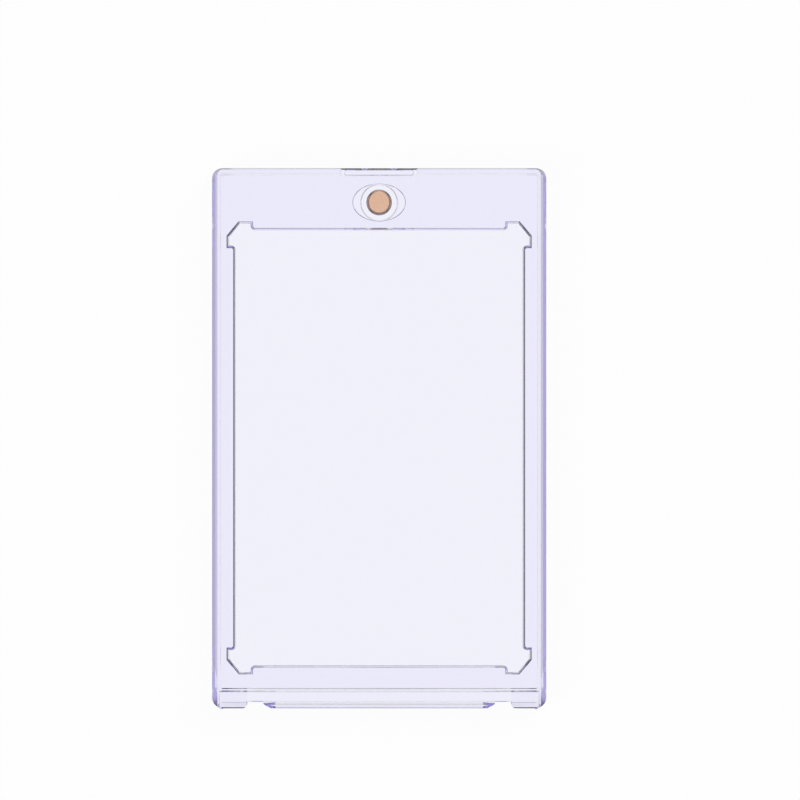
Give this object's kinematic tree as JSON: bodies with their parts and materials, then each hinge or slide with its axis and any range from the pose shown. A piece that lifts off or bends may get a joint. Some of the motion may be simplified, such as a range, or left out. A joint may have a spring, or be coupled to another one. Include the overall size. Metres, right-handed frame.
{
  "type": "magnetic card holder",
  "caption": "Clear rectangular display case for a card, with a cover that hooks round a hinge bar at one end and is held shut by magnets at the other.",
  "frame": {"origin": "centre of the box's back face, on the surface that the closed case lies on", "axes": "+X across the case, +Y from the hinge end to the magnet end, +Z out of the front face"},
  "size_m": [0.075, 0.1212, 0.0104],
  "materials": {
    "tinted_plastic": "polished clear moulding with a faint violet tint",
    "gold_plate": "satin gold-toned plating"
  },
  "bodies": {
    "base": {"base_tray": "tinted_plastic", "base_magnet": "gold_plate"},
    "cover": {"front_cover": "tinted_plastic", "cover_magnet": "gold_plate"}
  },
  "joints": [
    {"name": "cover_hinge", "type": "hinge", "parent": "base", "child": "cover", "pos_m": [0, -0.0577, 0.00882], "axis": [1, 0, 0], "range_deg": [0, 105]}
  ]
}
